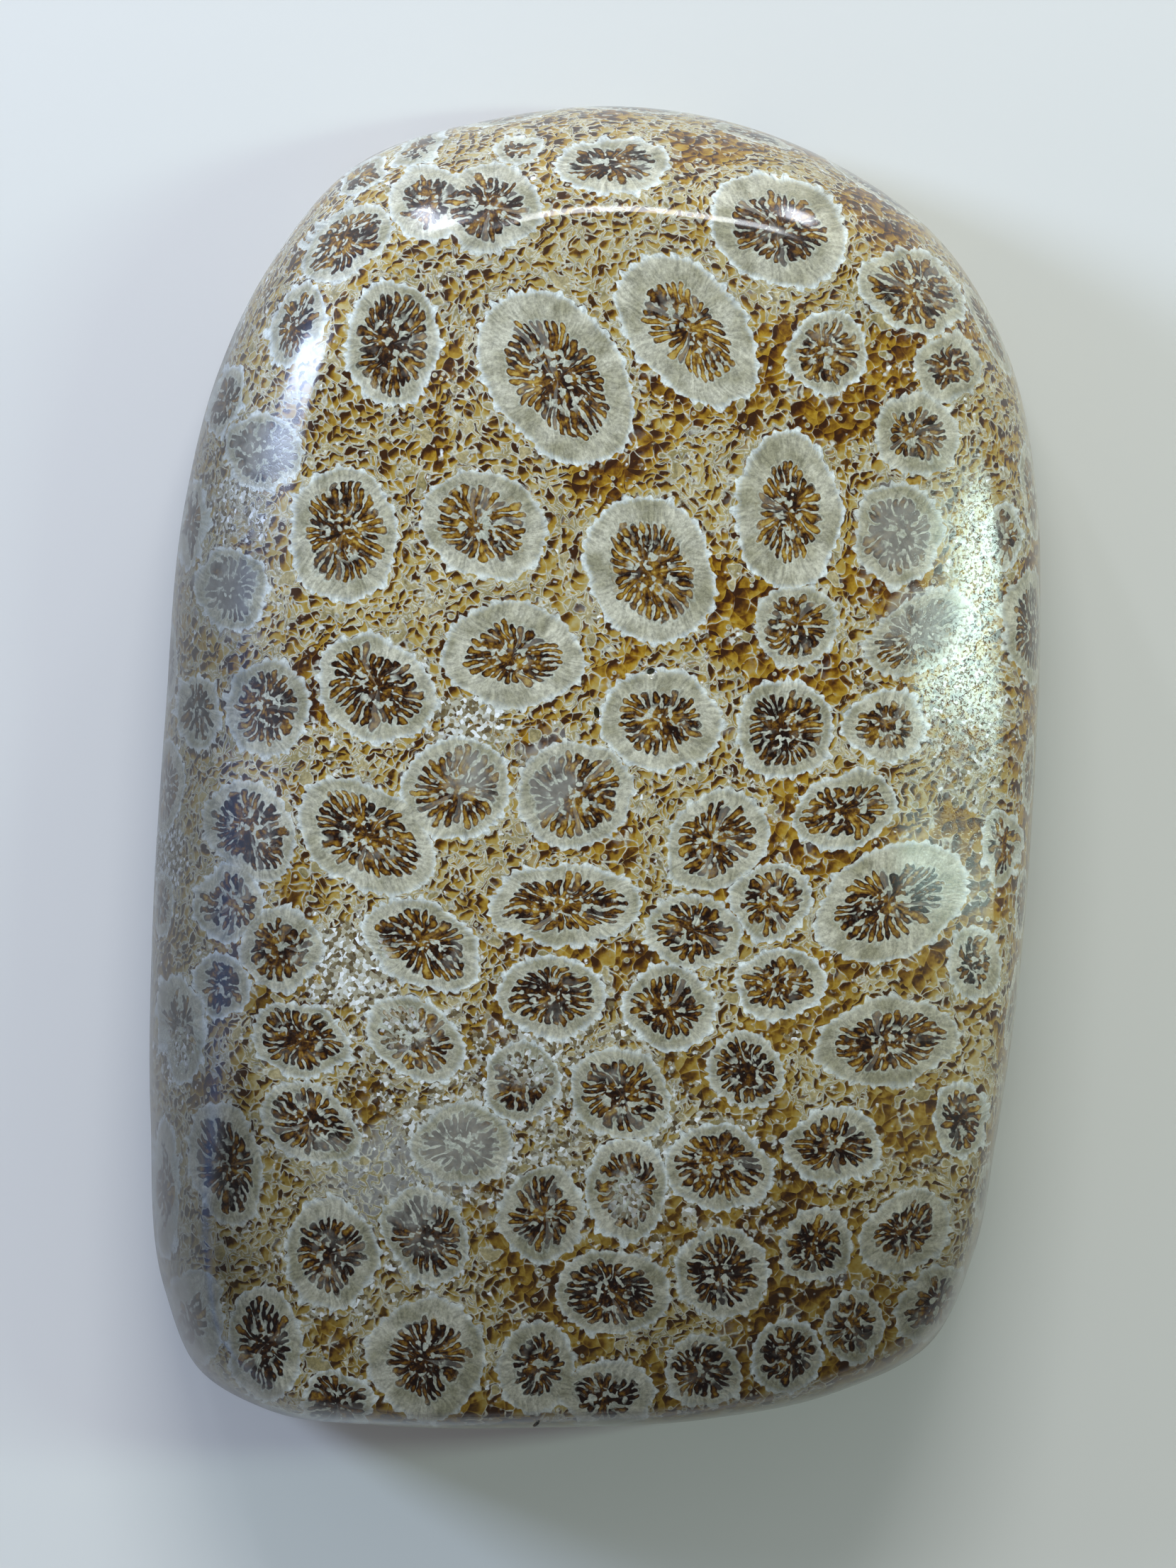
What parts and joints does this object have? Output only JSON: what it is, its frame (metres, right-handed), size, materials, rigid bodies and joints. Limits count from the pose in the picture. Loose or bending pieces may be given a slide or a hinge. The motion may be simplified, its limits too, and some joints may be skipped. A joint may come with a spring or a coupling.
{
  "type": "fossil coral head",
  "caption": "Polished fossil coral stone with an arched end, a domed front of flower-like corallites and a flat back that it rests on.",
  "frame": {"origin": "middle of the flat back's underside, at the centre of the outline's box", "axes": "+X the stone's right seen from the front, +Y to its arched end, +Z out of the domed front"},
  "size_m": [0.0502, 0.0744, 0.0186],
  "materials": {
    "coral_stone": "polished chalcedony: cream corallite walls, amber and dark brown cells, glossy with fine pits"
  },
  "bodies": {
    "root": {"coral_head": "coral_stone"}
  },
  "joints": []
}
